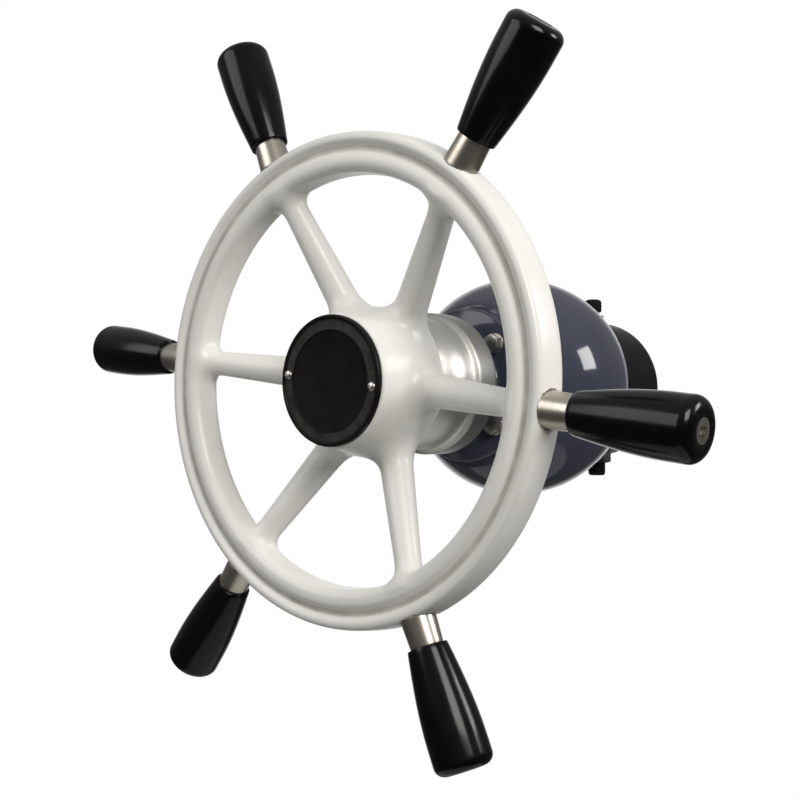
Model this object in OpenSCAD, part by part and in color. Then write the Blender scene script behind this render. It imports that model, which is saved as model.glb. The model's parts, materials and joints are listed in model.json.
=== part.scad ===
// Boat steering helm: a spoked wheel that turns a hand-driven hydraulic pump.
// Millimetres. The wheel turns about the Y axis and faces -Y. +Z is up.
// The origin is the centre of the rear face, which rests on the bulkhead.

/* [Wheel] */
// Distance across two opposite handle tips
wheel_span = 560; // [540:2:600]
// Outer diameter of the rim
rim_dia = 358; // [350:1:366]
// Width of the rim between its inner and outer faces
rim_width = 31; // [29:1:33]
// Depth of the rim from front to back
rim_depth = 26; // [26:1:30]
// Angle of the first handle above the horizontal at rest
rest_angle = -6.9; // [-30:0.1:30]
// Largest diameter of a grip
grip_dia = 41; // [38:1:44]
// Diameter of the name plate
plate_dia = 94; // [92:1:96]

/* [Helm] */
// Distance from the bulkhead to the front of the rim
reach = 375; // [372:1:400]
// Diameter of the shaft in its front bearing
shaft_dia = 25; // [24:0.5:26]
// Largest diameter of the bearing cap
cap_dia = 110; // [106:1:112]
// Largest diameter of the pump casing
casing_dia = 184; // [178:1:192]
// Length of the pump casing
casing_len = 140; // [136:1:150]
// Diameter of the rear block
block_dia = 124; // [122:1:128]
// Length of the rear block
block_len = 68; // [66:1:74]

/* [Mounting] */
// Bolt circle of the four tapped holes in the rear face
mount_pcd = 84; // [78:1:86]
// Diameter of those holes
mount_hole_dia = 10; // [8:1:10]

/* [Hidden] */
$fn = 64;
spoke_count = 6;
white = [0.93, 0.93, 0.92];
black = [0.04, 0.04, 0.05];
steel = [0.68, 0.67, 0.64];
bronze = [0.62, 0.45, 0.22];
navy = [0.22, 0.23, 0.28];
rubber = [0.08, 0.08, 0.08];

// Rim
rim_r = rim_dia / 2;
rim_mid_r = rim_r - rim_width / 2;
rim_front_y = -reach;
rim_mid_y = rim_front_y + rim_depth / 2;
rim_corner = 7;
rim_slope = 3.2;
groove_r = 5.2;
groove_depth = 3;
groove_shift = 1;

// Hub
plate_r = plate_dia / 2;
hub_lip = 1.5;
hub_bulge = 8;
hub_rear_bulge = 3;
hub_front_r = plate_r + hub_lip;
hub_belly_r = plate_r + hub_bulge;
hub_rear_r = plate_r + hub_rear_bulge;
hub_setback = 1;
hub_front_y = rim_front_y + hub_setback;
hub_belly_depth = 34;
hub_belly_len = 8;
hub_belly_y = hub_front_y + hub_belly_depth;
hub_len = 65;
hub_rear_y = hub_front_y + hub_len;
hub_edge = 2;
pocket_r = 22;
pocket_depth = 22;
pocket_floor_y = hub_front_y + pocket_depth;

// Spokes lean forward from the hub to the rim
spoke_start_x = 42;
spoke_start_depth = 47;
spoke_start_y = hub_front_y + spoke_start_depth;
spoke_lean = atan2(rim_mid_y - spoke_start_y, rim_mid_r - spoke_start_x);
spoke_len = norm([rim_mid_r - spoke_start_x, rim_mid_y - spoke_start_y]);
spoke_root_r = 13;
spoke_tip_r = 8.5;
spoke_root_flare = 17.5;
spoke_root_flare_len = 32;
spoke_tip_flare = 12;
spoke_tip_flare_len = 14;

// Handles
handle_y = rim_mid_y;
seat_depth = 4;
seat_x = rim_r - seat_depth;
seat_r = 13;
ferrule_root_r = 12.6;
ferrule_tip_r = 11.6;
ferrule_len = 21;
grip_x = seat_x + ferrule_len;
grip_len = wheel_span / 2 - grip_x;
grip_max_r = grip_dia / 2;
grip_root_r = 0.69 * grip_max_r;
grip_flat_r = 0.62 * grip_max_r;
grip_widest = 0.78;
grip_round_start = 0.91;
bolt_r = 5;
bolt_play = 0.2;
bolt_head_r = 8;
bolt_head_len = 10;
bolt_socket = 8;
bolt_sink = 10.5;
bolt_thread_len = 15;

// Name plate
plate_t = 3;
plate_rim_w = 2.2;
plate_rim_h = 1;
plate_ring_w = 1.2;
plate_ring_gap = 0.5;
plate_ring_h = 0.6;
plate_screw_r = 2;
plate_screw_head_r = 3.4;
plate_screw_head_len = 2.4;
plate_screw_inset = 6.3;
plate_screw_circle = plate_r - plate_screw_inset;
plate_ring_r = plate_screw_circle - plate_screw_head_r - plate_ring_gap;
plate_screw_len = 10;

// Casing and rear block
casing_r = casing_dia / 2;
casing_rear_y = -block_len;
casing_front_y = casing_rear_y - casing_len;
casing_front_r = 66;
casing_lip = 1;
casing_rear_r = block_dia / 2 + casing_lip;
casing_wall = 6;
casing_front_wall = 9;
casing_rear_ring = 14;
casing_lap = 1;
casing_front_hole_r = 40;
casing_mid_y = casing_front_y + sqrt(pow(casing_r, 2) - pow(casing_front_r, 2));
casing_drop = casing_r - casing_rear_r;
casing_rear_arc = (pow(casing_rear_y - casing_mid_y, 2) + pow(casing_drop, 2)) / (2 * casing_drop);
block_r = block_dia / 2;
block_round = 11;
block_ring_w = 3;
block_ring_depth = 1.6;
spigot_r = 54.5;
spigot_len = 8;
spigot_y = casing_rear_y - spigot_len;
seal_ring_r = 1.25;
seal_groove_w = 3.4;
mount_hole_depth = 18;

// Front housing, gasket and tie bolts
gasket_t = 1;
flange_t = 11.5;
flange_r = 62;
flange_rear_y = casing_front_y - gasket_t;
flange_front_y = flange_rear_y - flange_t;
tie_circle_r = 46;
tie_r = 4;
tie_play = 0.2;
tie_head_r = 7.5;
tie_head_len = 5.5;
tie_thread_len = 18;
tie_washer_r = 8;
tie_washer_t = 1.6;

// Bearing, cap and shaft
shaft_r = shaft_dia / 2;
hub_step = 2.5;
hub_bore_r = shaft_r - hub_step;
stud_r = 8;
shaft_nose_depth = 4;
shaft_nose_y = hub_front_y + shaft_nose_depth;
cap_gap = 5;
cap_front_y = hub_rear_y + cap_gap;
cap_clearance = 27;
cap_rear_y = flange_front_y - cap_clearance;
cap_r = cap_dia / 2;
cap_step = 4;
cap_nose_r = cap_r - cap_step;
cap_len = cap_rear_y - cap_front_y;
cap_step_y = cap_rear_y - 0.41 * cap_len;
cap_dome_len = 22;
cap_dome_arc = 40;
cap_dome_steps = 8;
cap_wall = 12;
neck_r = 34;
neck_front_y = cap_front_y + cap_wall;
ball_r = 3.95;
ball_count = 9;
bearing_section = 13.5;
ring_section = 4.3;
ball_circle_r = shaft_r + bearing_section / 2;
race_play = 0.07;
bearing_w = 15;
bearing_inner_r = shaft_r + ring_section;
bearing_outer_r = shaft_r + bearing_section - ring_section;
bearing_seat_r = shaft_r + bearing_section;
bearing_sink = 8;
bearing_front_y = neck_front_y + bearing_sink;
bearing_rear_y = bearing_front_y + bearing_w;
bearing_mid_y = bearing_front_y + bearing_w / 2;
cage_play = 0.5;
cage_w = 11;
circlip_t = 2;
circlip_bite = 1.2;
collar_h = 3;
collar_r = shaft_r + collar_h;
collar_len = 6;
sleeve_wall = 3.5;
sleeve_r = shaft_r + sleeve_wall;
seal_play = 0.05;
seal_w = 7;
seal_section = 7.5;
seal_r = sleeve_r + seal_section;
neck_play = 1.5;
neck_bore_r = shaft_r + neck_play;
key_w = 6;
key_half = 3;
hub_key_len = 22;
washer_t = 3;
washer_r = 15;
nut_len = 13;
nut_across_flats = 24;

// Pump stack: plates and rotors
stack_r = 41;
port_plate_t = 8;
rotor_t = 16;
rotor_play = 0.05;
thrust_plate_t = 8;
port_plate_y = spigot_y - port_plate_t;
pump_ring_y = port_plate_y - rotor_t - 2 * rotor_play;
thrust_plate_y = pump_ring_y - thrust_plate_t;
rotor_y = pump_ring_y + rotor_play;
journal_r = 10;
journal_lead = 4;
journal_y = thrust_plate_y - journal_lead;
journal_play = 0.5;
tail_len = 26;
shaft_end_y = spigot_y + tail_len;
rotor_offset = 2;
lobe_count = 7;
lobe_r = 7;
lobe_circle_r = 26;
flank_play = 0.08;
outer_rotor_r = 31;
root_play = 0.4;
outer_root_r = lobe_circle_r - lobe_r + 2 * rotor_offset + root_play;
rotor_points = 252;
rotor_key_len = 14;
kidney_in_r = 17.5;
kidney_out_r = 22.8;
kidney_gap = 10;
stack_screw_circle = 36.6;
stack_screw_r = 2.5;
stack_screw_head_r = 4.25;
stack_screw_head_len = 5;
stack_screw_grip = 14;
bush_r = 13;
bush_play = 0.05;
bush_len = 20;

// Lock valve, ports and plugs in the rear block
valve_setback = 8;
valve_y = shaft_end_y + valve_setback;
valve_z = -20;
valve_bore_r = 7;
spool_play = 0.05;
spool_half = 2.5;
spool_stem_r = 2.4;
spool_stem_end = 11.8;
seat_start = 10.5;
seat_end = 13.5;
seat_hole_r = 3.4;
poppet_r = 5.6;
seat_play = 0.02;
poppet_face = seat_end + seat_play;
poppet_len = 5;
poppet_stem_r = 2.2;
poppet_stem_end = 44.5;
poppet_lift = 2;
plug_start = 40;
plug_guide_end = 47.5;
plug_inset = 6.5;
plug_end = block_r - plug_inset;
plug_hole_len = 20;
plug_socket = 6;
plug_socket_depth = 6;
spring_gap = 0.4;
spring_start = poppet_face + poppet_len + poppet_lift + spring_gap;
spring_turns = 5;
spring_wire = 1.1;
spring_mid_r = 4.2;
passage_r = 2.5;
cross_passage_r = 3;
passage_x = 7;
union_x = 18;
union_inset = 9;
union_seat_z = union_inset - block_r;
union_thread_r = 6.5;
union_thread_len = 12;
union_bore_r = 3.8;
union_seal_t = 1.5;
union_hex = 22;
union_hex_len = 13;
union_nose_r = 8;
union_nose_len = 11.5;
union_seat_r = 13.2;
union_seat_cut = 20;
filler_y = -18;
filler_inset = 2;
filler_seat_z = block_r - filler_inset;
filler_seat_r = 10.5;
filler_hole_len = 21;
filler_thread_r = 7;
filler_thread_len = 12;
filler_hex = 17;
filler_hex_len = 8;
filler_neck_r = 6;
filler_neck_len = 3;
filler_cap_r = 8;
filler_cap_len = 12;
filler_seal_t = 1.5;
filler_passage_z = 47.5;
filler_passage_r = 2.4;

function hex_r(across_flats) = across_flats / 2 / cos(30);

// Rounded outline of a grip, from the ferrule to the tip
function grip_radius(t) =
    grip_root_r + (grip_max_r - grip_root_r) * sin(90 * min(1, t / grip_widest));
grip_side = [for (t = [0 : 0.04 : grip_round_start]) [grip_radius(t), t * grip_len]];
grip_end = [for (a = [15 : 15 : 90]) [
    grip_flat_r + (grip_max_r - grip_flat_r) * cos(a),
    grip_len * (grip_round_start + (1 - grip_round_start) * sin(a))
]];

// Rounded nose of the bearing cap, from its front face to its straight side
function cap_dome_r(run) =
    cap_nose_r - cap_dome_arc + sqrt(pow(cap_dome_arc, 2) - pow(cap_dome_len - run, 2));
cap_dome = [for (i = [0 : cap_dome_steps])
    let (run = cap_dome_len * i / cap_dome_steps)
    [cap_dome_r(run), cap_front_y + run]
];

// Flank of the inner rotor: the curve that stays in touch with every lobe of the outer rotor
function flank_lead(t) = atan2(
    sin((1 - lobe_count) * t),
    lobe_circle_r / (rotor_offset * lobe_count) - cos((1 - lobe_count) * t)
);
function flank_point(t) = [
    lobe_circle_r * cos(t) - (lobe_r + flank_play) * cos(t + flank_lead(t))
        - rotor_offset * cos(lobe_count * t),
    -lobe_circle_r * sin(t) + (lobe_r + flank_play) * sin(t + flank_lead(t))
        + rotor_offset * sin(lobe_count * t)
];

// Turned solid about the Y axis from a half section drawn as [radius, y]
module turned() {
    rotate([-90, 0, 0])
        rotate_extrude()
            children();
}

// Round bar along Y
module rod(r, y0, y1) {
    translate([0, y0, 0])
        rotate([-90, 0, 0])
            cylinder(r = r, h = y1 - y0);
}

// Ring along Y
module tube(r_in, r_out, y0, y1) {
    difference() {
        rod(r_out, y0, y1);
        rod(r_in, y0 - 1, y1 + 1);
    }
}

// Hexagon bar along Y
module hex_rod(across_flats, y0, y1) {
    translate([0, y0, 0])
        rotate([-90, 0, 0])
            cylinder(r = hex_r(across_flats), h = y1 - y0, $fn = 6);
}

// Round or tapered bar along X
module bar(r0, r1, x0, x1) {
    translate([x0, 0, 0])
        rotate([0, 90, 0])
            cylinder(r1 = r0, r2 = r1, h = x1 - x0);
}

// Children repeated on a circle about the Y axis
module around(count, radius, start) {
    for (i = [0 : count - 1])
        rotate([0, -(start + i * 360 / count), 0])
            translate([radius, 0, 0])
                children();
}

// Children placed on the line of one handle, +X pointing outwards
module at_handle(number) {
    rotate([0, -(rest_angle + (number - 1) * 360 / spoke_count), 0])
        translate([0, handle_y, 0])
            children();
}

// Key lying in a shaft, half of it standing out
module key_block(seat_radius, y0, len) {
    translate([-key_w / 2, y0, seat_radius - key_half])
        cube([key_w, len, 2 * key_half]);
}

module hub_key_block() {
    key_block(hub_bore_r, pocket_floor_y + 5, hub_key_len);
}

module rotor_key_block() {
    key_block(journal_r, rotor_y + (rotor_t - rotor_key_len) / 2, rotor_key_len);
}

// Wheel

module rim_section() {
    flat_w = rim_width / 2 - rim_corner;
    flat_d = rim_depth / 2 - rim_corner;
    difference() {
        translate([rim_mid_r, rim_mid_y]) {
            square([2 * flat_w, rim_depth], center = true);
            square([rim_width, 2 * flat_d], center = true);
            for (x = [-flat_w, flat_w])
                for (y = [-flat_d, flat_d])
                    translate([x, y])
                        circle(rim_corner);
        }
        translate([rim_mid_r + groove_shift, rim_front_y - groove_r + groove_depth])
            circle(groove_r);
        polygon([
            [rim_r - rim_slope, rim_front_y - 1],
            [rim_r - rim_slope, rim_front_y],
            [rim_r, rim_mid_y + flat_d],
            [rim_r + 1, rim_mid_y + flat_d],
            [rim_r + 1, rim_front_y - 1]
        ]);
    }
}

module spoke() {
    translate([spoke_start_x, spoke_start_y, 0])
        rotate([0, 0, spoke_lean]) {
            bar(spoke_root_r, spoke_tip_r, 0, spoke_len);
            bar(spoke_root_flare, spoke_root_r - 2, 0, spoke_root_flare_len);
            bar(
                spoke_tip_r, spoke_tip_flare,
                spoke_len - rim_width / 2 - spoke_tip_flare_len, spoke_len - rim_width / 2 + 2
            );
        }
}

module hub() {
    turned()
        polygon([
            [0, hub_front_y],
            [hub_front_r - hub_edge, hub_front_y],
            [hub_front_r, hub_front_y + hub_edge],
            [hub_belly_r, hub_belly_y],
            [hub_belly_r, hub_belly_y + hub_belly_len],
            [hub_rear_r, hub_rear_y - hub_edge],
            [hub_rear_r - hub_edge, hub_rear_y],
            [0, hub_rear_y]
        ]);
}

module wheel_casting() {
    color(white)
        difference() {
            union() {
                turned()
                    rim_section();
                hub();
                for (i = [0 : spoke_count - 1])
                    rotate([0, -(rest_angle + i * 360 / spoke_count), 0])
                        spoke();
            }
            rod(pocket_r, hub_front_y - 1, pocket_floor_y);
            rod(hub_bore_r, pocket_floor_y - 1, hub_rear_y + 1);
            hub_key_block();
            around(2, plate_screw_circle, rest_angle)
                rod(plate_screw_r, hub_front_y - 1, hub_front_y + plate_screw_len);
            for (i = [1 : spoke_count])
                at_handle(i) {
                    bar(seat_r, seat_r, seat_x, rim_r + 1);
                    bar(bolt_r, bolt_r, seat_x - bolt_thread_len, seat_x + 1);
                }
        }
}

module name_plate() {
    front_y = hub_front_y - plate_t;
    color(black)
        difference() {
            union() {
                rod(plate_r, front_y, hub_front_y);
                tube(plate_r - plate_rim_w, plate_r, front_y - plate_rim_h, front_y);
                tube(plate_ring_r - plate_ring_w, plate_ring_r, front_y - plate_ring_h, front_y);
            }
            around(2, plate_screw_circle, rest_angle)
                rod(plate_screw_r, front_y - 1, hub_front_y + 1);
        }
}

module plate_screws() {
    face_y = hub_front_y - plate_t;
    color(steel)
        around(2, plate_screw_circle, rest_angle) {
            rod(plate_screw_r, face_y, hub_front_y + plate_screw_len);
            rod(plate_screw_head_r, face_y - plate_screw_head_len, face_y);
        }
}

module hub_washer() {
    color(steel)
        tube(stud_r, washer_r, pocket_floor_y - washer_t, pocket_floor_y);
}

module hub_nut() {
    rear_y = pocket_floor_y - washer_t;
    color(steel)
        difference() {
            hex_rod(nut_across_flats, rear_y - nut_len, rear_y);
            rod(stud_r, rear_y - nut_len - 1, rear_y + 1);
        }
}

module hub_key() {
    color(steel)
        hub_key_block();
}

module ferrule(number) {
    color(steel)
        at_handle(number)
            difference() {
                bar(ferrule_root_r, ferrule_tip_r, seat_x, grip_x);
                bar(bolt_r + bolt_play, bolt_r + bolt_play, seat_x - 1, grip_x + 1);
            }
}

module grip(number) {
    color(black)
        at_handle(number)
            difference() {
                translate([grip_x, 0, 0])
                    rotate([0, 90, 0])
                        rotate_extrude()
                            polygon(concat([[0, 0]], grip_side, grip_end, [[0, grip_len]]));
                bar(bolt_r + bolt_play, bolt_r + bolt_play, grip_x - 1, grip_x + grip_len + 1);
                bar(
                    bolt_head_r + bolt_play, bolt_head_r + bolt_play,
                    grip_x + grip_len - bolt_sink, grip_x + grip_len + 1
                );
            }
}

module handle_bolts() {
    head_x = grip_x + grip_len - bolt_sink;
    color(steel)
        for (i = [1 : spoke_count])
            at_handle(i)
                difference() {
                    union() {
                        bar(bolt_r, bolt_r, seat_x - bolt_thread_len, head_x);
                        bar(bolt_head_r, bolt_head_r, head_x, head_x + bolt_head_len);
                    }
                    translate([head_x + bolt_head_len / 2, 0, 0])
                        rotate([0, 90, 0])
                            cylinder(r = hex_r(bolt_socket), h = bolt_head_len, $fn = 6);
                }
}

// Shaft and front bearing

module shaft() {
    color(steel)
        difference() {
            turned()
                polygon([
                    [0, shaft_nose_y],
                    [stud_r - 1, shaft_nose_y],
                    [stud_r, shaft_nose_y + 1],
                    [stud_r, pocket_floor_y],
                    [hub_bore_r, pocket_floor_y],
                    [hub_bore_r, hub_rear_y],
                    [shaft_r, hub_rear_y],
                    [shaft_r, bearing_rear_y],
                    [collar_r, bearing_rear_y],
                    [collar_r, bearing_rear_y + collar_len],
                    [shaft_r, bearing_rear_y + collar_len],
                    [shaft_r, journal_y],
                    [journal_r, journal_y],
                    [journal_r, shaft_end_y],
                    [0, shaft_end_y]
                ]);
            hub_key_block();
            rotor_key_block();
        }
}

module spacer_sleeve() {
    color(steel)
        tube(shaft_r, sleeve_r, hub_rear_y, bearing_front_y);
}

module race_groove() {
    turned()
        translate([ball_circle_r, bearing_mid_y])
            circle(ball_r + race_play);
}

module bearing_inner_ring() {
    color(steel)
        difference() {
            tube(shaft_r, bearing_inner_r, bearing_front_y, bearing_rear_y);
            race_groove();
        }
}

module bearing_outer_ring() {
    color(steel)
        difference() {
            tube(bearing_outer_r, bearing_seat_r, bearing_front_y, bearing_rear_y);
            race_groove();
        }
}

module balls() {
    around(ball_count, ball_circle_r, 0)
        translate([0, bearing_mid_y, 0])
            sphere(ball_r);
}

module bearing_balls() {
    color(steel)
        balls();
}

module bearing_cage() {
    color(bronze)
        difference() {
            tube(
                bearing_inner_r + cage_play, bearing_outer_r - cage_play,
                bearing_mid_y - cage_w / 2, bearing_mid_y + cage_w / 2
            );
            around(ball_count, 0, 0)
                translate([0, bearing_mid_y, 0])
                    bar(ball_r, ball_r, bearing_inner_r, bearing_outer_r);
        }
}

module bearing_circlip() {
    color(steel)
        tube(
            bearing_outer_r + 1, bearing_seat_r + circlip_bite,
            bearing_front_y - circlip_t, bearing_front_y
        );
}

module shaft_seal() {
    color(rubber)
        tube(sleeve_r + seal_play, seal_r, cap_front_y, cap_front_y + seal_w);
}

module bearing_cap() {
    chamfer = 3;
    color(steel)
        difference() {
            turned()
                polygon(concat([[0, cap_front_y]], cap_dome, [
                    [cap_nose_r, cap_step_y - chamfer],
                    [cap_r, cap_step_y],
                    [cap_r, cap_rear_y - chamfer],
                    [cap_r - chamfer, cap_rear_y],
                    [0, cap_rear_y]
                ]));
            rod(seal_r, cap_front_y - 1, cap_front_y + seal_w);
            rod(sleeve_r + 2, cap_front_y, neck_front_y + 1);
            rod(neck_r, neck_front_y, cap_rear_y + 1);
        }
}

module front_housing() {
    color(navy)
        difference() {
            union() {
                rod(neck_r, neck_front_y, flange_front_y + 1);
                rod(flange_r, flange_front_y, flange_rear_y);
                rod(casing_front_hole_r, flange_rear_y - 1, casing_front_y + 5);
            }
            rod(bearing_seat_r, neck_front_y - 1, bearing_rear_y);
            rod(
                bearing_seat_r + circlip_bite,
                bearing_front_y - circlip_t, bearing_front_y
            );
            rod(collar_r + 2, bearing_rear_y - 1, bearing_rear_y + collar_len + 3);
            rod(neck_bore_r, bearing_rear_y, casing_front_y + 6);
            around(4, tie_circle_r, 45)
                rod(tie_r + tie_play, flange_front_y - 1, flange_rear_y + 1);
        }
}

// Casing

module front_gasket() {
    color(rubber)
        difference() {
            tube(casing_front_hole_r, flange_r, flange_rear_y, casing_front_y);
            around(4, tie_circle_r, 45)
                rod(tie_r + tie_play, flange_rear_y - 1, casing_front_y + 1);
        }
}

module casing_shape(shrink, y0, y1) {
    intersection() {
        translate([0, casing_mid_y])
            circle(casing_r - shrink);
        translate([0, y0])
            square([casing_r, casing_mid_y - y0 + casing_lap]);
    }
    intersection() {
        translate([casing_r - casing_rear_arc, casing_mid_y])
            circle(casing_rear_arc - shrink);
        translate([0, casing_mid_y])
            square([casing_r, y1 - casing_mid_y]);
    }
}

module casing() {
    color(navy)
        difference() {
            turned()
                difference() {
                    casing_shape(0, casing_front_y, casing_rear_y);
                    casing_shape(
                        casing_wall,
                        casing_front_y + casing_front_wall, casing_rear_y - casing_rear_ring
                    );
                    translate([0, casing_mid_y])
                        square([spigot_r, casing_rear_y - casing_mid_y + 1]);
                    translate([0, casing_front_y - 1])
                        square([casing_front_hole_r, casing_mid_y - casing_front_y]);
                }
            around(4, tie_circle_r, 45)
                rod(tie_r + tie_play, casing_front_y - 1, casing_front_y + casing_front_wall + 1);
        }
}

module casing_seal_ring() {
    color(rubber)
        turned()
            translate([spigot_r - seal_ring_r, casing_rear_y - spigot_len / 2])
                circle(seal_ring_r);
}

module tie_washers() {
    color(steel)
        around(4, tie_circle_r, 45)
            tube(tie_r, tie_washer_r, flange_front_y - tie_washer_t, flange_front_y);
}

module tie_bolts() {
    head_y = flange_front_y - tie_washer_t;
    color(steel)
        around(4, tie_circle_r, 45) {
            rod(tie_r, head_y, spigot_y + tie_thread_len);
            translate([0, head_y - tie_head_len, 0])
                rotate([-90, 0, 0])
                    cylinder(r = tie_head_r, h = tie_head_len, $fn = 6);
        }
}

// Pump stack

module stack_screw_holes(y0, y1) {
    around(4, stack_screw_circle, 0)
        rod(stack_screw_r, y0, y1);
}

module thrust_plate() {
    color(steel)
        difference() {
            tube(journal_r + journal_play, stack_r, thrust_plate_y, pump_ring_y);
            stack_screw_holes(thrust_plate_y - 1, pump_ring_y + 1);
        }
}

module pump_ring() {
    color(steel)
        difference() {
            rod(stack_r, pump_ring_y, port_plate_y);
            translate([-rotor_offset, 0, 0])
                rod(outer_rotor_r + rotor_play, pump_ring_y - 1, port_plate_y + 1);
            stack_screw_holes(pump_ring_y - 1, port_plate_y + 1);
        }
}

module port_plate() {
    color(steel)
        difference() {
            tube(journal_r + journal_play, stack_r, port_plate_y, spigot_y);
            difference() {
                tube(kidney_in_r, kidney_out_r, port_plate_y - 1, spigot_y + 1);
                translate([-stack_r, port_plate_y - 3, -kidney_gap / 2])
                    cube([2 * stack_r, port_plate_t + 6, kidney_gap]);
            }
            stack_screw_holes(port_plate_y - 1, spigot_y + 1);
        }
}

module stack_screws() {
    color(steel) {
        stack_screw_holes(thrust_plate_y, spigot_y + stack_screw_grip);
        around(4, stack_screw_circle, 0)
            rod(stack_screw_head_r, thrust_plate_y - stack_screw_head_len, thrust_plate_y);
    }
}

module inner_rotor() {
    color(steel)
        difference() {
            translate([0, rotor_y, 0])
                rotate([-90, 0, 0])
                    linear_extrude(height = rotor_t)
                        polygon([for (i = [0 : rotor_points - 1]) flank_point(i * 360 / rotor_points)]);
            rod(journal_r, rotor_y - 1, rotor_y + rotor_t + 1);
            rotor_key_block();
        }
}

module rotor_key() {
    color(steel)
        rotor_key_block();
}

module outer_rotor() {
    color(bronze)
        translate([-rotor_offset, rotor_y, 0])
            rotate([-90, 0, 0])
                linear_extrude(height = rotor_t)
                    difference() {
                        circle(outer_rotor_r);
                        difference() {
                            circle(outer_root_r);
                            for (i = [0 : lobe_count - 1])
                                rotate(i * 360 / lobe_count)
                                    translate([lobe_circle_r, 0])
                                        circle(lobe_r);
                        }
                    }
}

// Rear block

module block_blank() {
    turned() {
        translate([0, casing_rear_y])
            square([block_r - block_ring_depth, block_len - block_round]);
        translate([0, casing_rear_y + block_ring_w])
            square([block_r, block_ring_w]);
        translate([0, casing_rear_y + 3 * block_ring_w])
            square([block_r, block_len - block_round - 3 * block_ring_w]);
        translate([0, casing_rear_y])
            square([block_r - block_round, block_len]);
        translate([block_r - block_round, -block_round])
            circle(block_round);
        difference() {
            translate([0, spigot_y])
                square([spigot_r, spigot_len + 1]);
            translate([spigot_r - 2 * seal_ring_r, casing_rear_y - spigot_len / 2 - seal_groove_w / 2])
                square([2 * seal_ring_r + 1, seal_groove_w]);
        }
    }
}

// Oil ways: one from each pump port to its end of the lock valve
module oil_ways() {
    translate([passage_x, 0, valve_z])
        rod(passage_r, spigot_y - 1, valve_y);
    translate([-passage_x, 0, -valve_z])
        rod(passage_r, spigot_y - 1, valve_y);
    translate([-passage_x, valve_y, valve_z])
        cylinder(r = cross_passage_r, h = 2 * cross_passage_r - 2 * valve_z);
    translate([0, 0, filler_passage_z])
        rod(filler_passage_r, spigot_y - 1, filler_y);
}

module union_hole(side) {
    translate([side * union_x, valve_y, union_seat_z]) {
        translate([0, 0, -union_seat_cut])
            cylinder(r = union_seat_r, h = union_seat_cut);
        translate([0, 0, -1])
            cylinder(r = union_thread_r, h = union_thread_len + 1);
        cylinder(r = union_bore_r, h = valve_z - union_seat_z);
    }
}

module rear_block() {
    color(black)
        difference() {
            block_blank();
            around(4, mount_pcd / 2, 45)
                rod(mount_hole_dia / 2, -mount_hole_depth, 1);
            around(4, tie_circle_r, 45)
                rod(tie_r, spigot_y - 1, spigot_y + tie_thread_len);
            stack_screw_holes(spigot_y - 1, spigot_y + stack_screw_grip);
            rod(bush_r, spigot_y - 1, spigot_y + bush_len);
            rod(journal_r + journal_play, spigot_y, shaft_end_y + 1.5);
            translate([0, valve_y, valve_z])
                bar(valve_bore_r, valve_bore_r, -block_r, block_r);
            for (side = [-1, 1]) {
                translate([side * (plug_end + plug_hole_len / 2), valve_y, valve_z])
                    bar(valve_bore_r + 2, valve_bore_r + 2, -plug_hole_len / 2, plug_hole_len / 2);
                union_hole(side);
            }
            oil_ways();
            translate([0, filler_y, filler_seat_z]) {
                cylinder(r = filler_seat_r, h = filler_hole_len);
                translate([0, 0, filler_passage_z - filler_seat_z - 2 * filler_passage_r])
                    cylinder(r = filler_thread_r, h = filler_hole_len);
            }
        }
}

module rear_bush() {
    color(bronze)
        tube(journal_r + bush_play, bush_r, spigot_y, spigot_y + bush_len);
}

// Children placed on the lock valve's bore, mirrored for the left side
module at_valve(side) {
    translate([0, valve_y, valve_z])
        mirror([side < 0 ? 1 : 0, 0, 0])
            children();
}

module valve_spool() {
    color(steel)
        translate([0, valve_y, valve_z]) {
            bar(valve_bore_r - spool_play, valve_bore_r - spool_play, -spool_half, spool_half);
            bar(spool_stem_r, spool_stem_r, -spool_stem_end, spool_stem_end);
        }
}

module valve_seats() {
    color(bronze)
        for (side = [-1, 1])
            at_valve(side)
                difference() {
                    bar(valve_bore_r, valve_bore_r, seat_start, seat_end);
                    bar(seat_hole_r, seat_hole_r, seat_start - 1, seat_end + 1);
                }
}

module poppet(side) {
    color(steel)
        at_valve(side) {
            bar(poppet_r, poppet_r, poppet_face, poppet_face + poppet_len);
            bar(poppet_stem_r, poppet_stem_r, poppet_face, poppet_stem_end);
        }
}

// Square-wire coil: a slice of a ring, wound along X
module valve_spring(side) {
    length = plug_start - spring_start;
    slice = 360 * spring_turns * spring_wire / length;
    inner = spring_mid_r - spring_wire / 2;
    outer = spring_mid_r + spring_wire / 2;
    steps = 5;
    function spot(i) = [cos(slice * i / steps), sin(slice * i / steps)];
    color(steel)
        at_valve(side)
            translate([spring_start, 0, 0])
                rotate([0, 90, 0])
                    linear_extrude(height = length, twist = -360 * spring_turns, slices = 60, $fn = 12)
                        polygon(concat(
                            [for (i = [0 : steps]) outer * spot(i)],
                            [for (i = [steps : -1 : 0]) inner * spot(i)]
                        ));
}

module valve_plugs() {
    guide_r = poppet_stem_r + spool_play;
    color(steel)
        for (side = [-1, 1])
            at_valve(side)
                difference() {
                    bar(valve_bore_r, valve_bore_r, plug_start, plug_end);
                    bar(guide_r, guide_r, plug_start - 1, plug_guide_end);
                    translate([plug_end - plug_socket_depth, 0, 0])
                        rotate([0, 90, 0])
                            cylinder(r = hex_r(plug_socket), h = plug_socket_depth + 1, $fn = 6);
                }
}

module filler_seal() {
    color(rubber)
        translate([0, filler_y, filler_seat_z])
            difference() {
                cylinder(r = filler_seat_r - 0.5, h = filler_seal_t);
                translate([0, 0, -1])
                    cylinder(r = filler_thread_r, h = filler_seal_t + 2);
            }
}

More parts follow.
